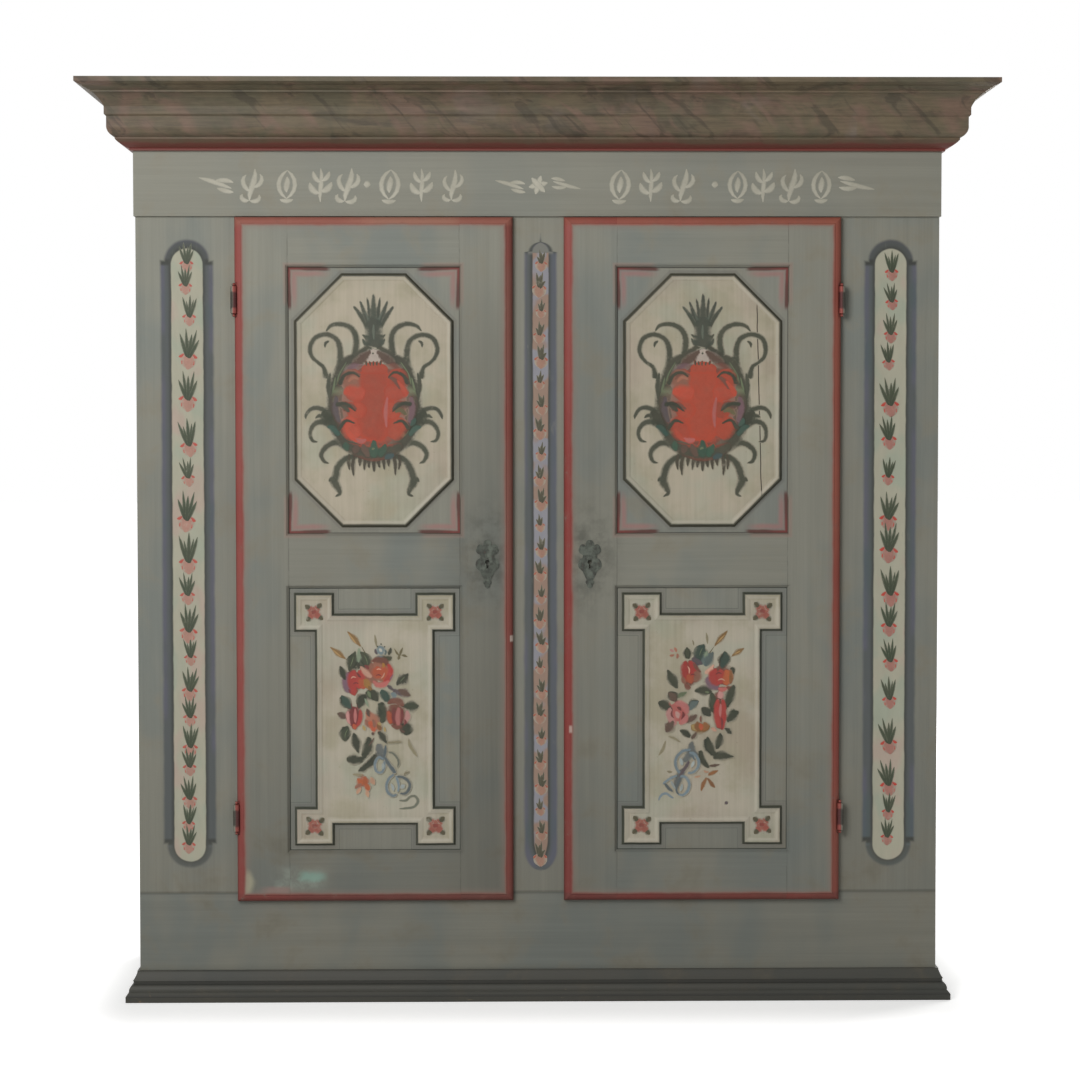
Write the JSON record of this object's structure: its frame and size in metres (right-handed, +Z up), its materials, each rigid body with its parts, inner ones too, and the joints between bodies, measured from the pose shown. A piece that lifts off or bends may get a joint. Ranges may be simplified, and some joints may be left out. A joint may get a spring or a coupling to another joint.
{
  "type": "kas cupboard",
  "caption": "Tall knock-down painted cupboard with framed and panelled doors, deep moulded cornice, plinth with foot moulding, inner shelves, lift-off hinges and bolt locks.",
  "frame": {"origin": "middle of the footprint's bounding box, on the floor", "axes": "+Z up, the doors face -Y, +X is to the right of someone facing the doors"},
  "size_m": [1.84, 0.588, 1.865],
  "materials": {
    "case_paint": "aged matt grey-green oil paint on pine",
    "door_paint": "aged matt grey-green oil paint on pine, red-painted rolled edge",
    "panel_paint": "aged cream and grey paint with painted flowers and scrolls",
    "cornice_paint": "marbled brown paint with a red lower edge, worn",
    "foot_paint": "dark grey-green paint, worn",
    "bare_wood": "unpainted aged pine",
    "iron": "dark wrought iron, partly painted over"
  },
  "bodies": {
    "case": {"back_boards": "bare_wood", "base_moulding_front": "foot_paint", "base_moulding_left": "foot_paint", "base_moulding_right": "foot_paint", "bolt_keepers": "iron", "center_post": "case_paint", "cornice_blocks": "bare_wood", "cornice_front": "cornice_paint", "cornice_left": "cornice_paint", "cornice_right": "cornice_paint", "floor_bearers": "bare_wood", "floor_boards": "bare_wood", "frieze_back": "bare_wood", "frieze_front": "case_paint", "frieze_left": "case_paint", "frieze_right": "case_paint", "hinge_pintles": "iron", "left_corner_stile": "case_paint", "left_lower_shelf": "bare_wood", "left_side_panel": "case_paint", "left_upper_shelf": "bare_wood", "partition": "bare_wood", "plinth_back": "bare_wood", "plinth_front": "case_paint", "plinth_left": "case_paint", "plinth_right": "case_paint", "rear_top_rail": "bare_wood", "right_corner_stile": "case_paint", "right_lower_shelf": "bare_wood", "right_side_panel": "case_paint", "right_upper_shelf": "bare_wood", "roof_boards": "bare_wood", "top_rail": "bare_wood"},
    "left_door": {"left_door_bottom_rail": "door_paint", "left_door_escutcheon": "iron", "left_door_hinge_leaves": "iron", "left_door_hinge_stile": "door_paint", "left_door_lock_case": "iron", "left_door_lock_rail": "door_paint", "left_door_lock_spring": "iron", "left_door_lock_stile": "door_paint", "left_door_lower_panel": "panel_paint", "left_door_pegs": "bare_wood", "left_door_top_rail": "door_paint", "left_door_upper_panel": "panel_paint"},
    "left_bolt": {"left_door_lock_bolt": "iron"},
    "right_door": {"right_door_bottom_rail": "door_paint", "right_door_escutcheon": "iron", "right_door_hinge_leaves": "iron", "right_door_hinge_stile": "door_paint", "right_door_lock_case": "iron", "right_door_lock_rail": "door_paint", "right_door_lock_spring": "iron", "right_door_lock_stile": "door_paint", "right_door_lower_panel": "panel_paint", "right_door_pegs": "bare_wood", "right_door_top_rail": "door_paint", "right_door_upper_panel": "panel_paint"},
    "right_bolt": {"right_door_lock_bolt": "iron"}
  },
  "joints": [
    {"name": "left_door_hinge", "type": "hinge", "parent": "case", "child": "left_door", "pos_m": [-0.6155, -0.2035, 0.9], "axis": [0, 0, -1], "range_deg": [0, 170]},
    {"name": "left_bolt_slide", "type": "slide", "parent": "left_door", "child": "left_bolt", "axis": [1, 0, 0], "range_m": [0, 0.026]},
    {"name": "right_door_hinge", "type": "hinge", "parent": "case", "child": "right_door", "pos_m": [0.6155, -0.2035, 0.9], "axis": [0, 0, 1], "range_deg": [0, 170]},
    {"name": "right_bolt_slide", "type": "slide", "parent": "right_door", "child": "right_bolt", "axis": [-1, 0, 0], "range_m": [0, 0.026]}
  ]
}
